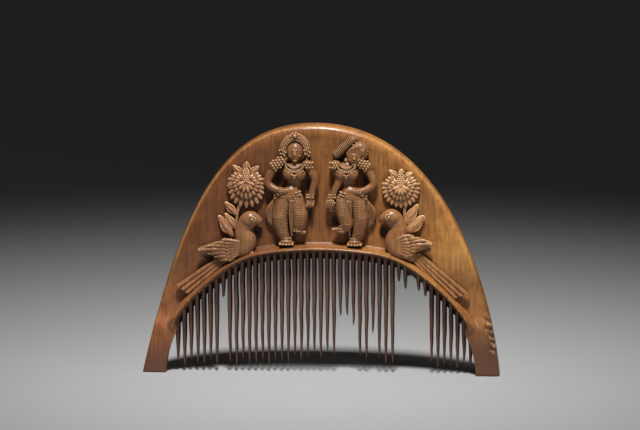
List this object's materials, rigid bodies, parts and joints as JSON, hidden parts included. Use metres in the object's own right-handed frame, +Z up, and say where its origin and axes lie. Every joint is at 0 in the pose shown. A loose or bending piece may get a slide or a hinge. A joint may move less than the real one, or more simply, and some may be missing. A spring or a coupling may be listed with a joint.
{
  "type": "hair comb",
  "caption": "Arched standing hair comb with a row of tapered teeth, some broken, and a carved relief of dancers, birds and flowers on its crescent back.",
  "frame": {"origin": "middle of the comb's footprint on the floor plane, between the bottoms of the two end feet", "axes": "+X along the tooth row to the viewer's right, +Z up towards the crown, -Y towards the viewer of the carved front"},
  "size_m": [0.1, 0.0086, 0.0702],
  "materials": {
    "back_ivory": "hand-polished aged ivory, satin, red-brown to golden",
    "tooth_ivory": "sawn aged ivory, stained dark, satin",
    "dancer_ivory": "carved aged ivory, worn to a soft polish on the high points",
    "bird_ivory": "carved aged ivory, worn to a soft polish on the high points",
    "flower_ivory": "carved aged ivory, worn to a soft polish on the high points"
  },
  "bodies": {
    "root": {"comb_back": "back_ivory", "tooth_01": "tooth_ivory", "tooth_02": "tooth_ivory", "tooth_03": "tooth_ivory", "tooth_04": "tooth_ivory", "tooth_05": "tooth_ivory", "tooth_06": "tooth_ivory", "tooth_07": "tooth_ivory", "tooth_08": "tooth_ivory", "tooth_09": "tooth_ivory", "tooth_10": "tooth_ivory", "tooth_11": "tooth_ivory", "tooth_12": "tooth_ivory", "tooth_13": "tooth_ivory", "tooth_14": "tooth_ivory", "tooth_15": "tooth_ivory", "tooth_16": "tooth_ivory", "tooth_17": "tooth_ivory", "tooth_18": "tooth_ivory", "tooth_19": "tooth_ivory", "tooth_20": "tooth_ivory", "tooth_21": "tooth_ivory", "tooth_22": "tooth_ivory", "tooth_23": "tooth_ivory", "tooth_24": "tooth_ivory", "tooth_25": "tooth_ivory", "tooth_26": "tooth_ivory", "tooth_27": "tooth_ivory", "tooth_28": "tooth_ivory", "tooth_29": "tooth_ivory", "tooth_30": "tooth_ivory", "tooth_31": "tooth_ivory", "tooth_32": "tooth_ivory", "tooth_33": "tooth_ivory", "tooth_34": "tooth_ivory", "tooth_35": "tooth_ivory", "tooth_36": "tooth_ivory", "tooth_38": "tooth_ivory", "tooth_39": "tooth_ivory", "tooth_40": "tooth_ivory", "tooth_41": "tooth_ivory", "tooth_42": "tooth_ivory", "tooth_43": "tooth_ivory", "tooth_44": "tooth_ivory", "tooth_45": "tooth_ivory", "tooth_46": "tooth_ivory", "left_dancer": "dancer_ivory", "right_dancer": "dancer_ivory", "left_bird": "bird_ivory", "right_bird": "bird_ivory", "left_flower": "flower_ivory", "right_flower": "flower_ivory"}
  },
  "joints": []
}
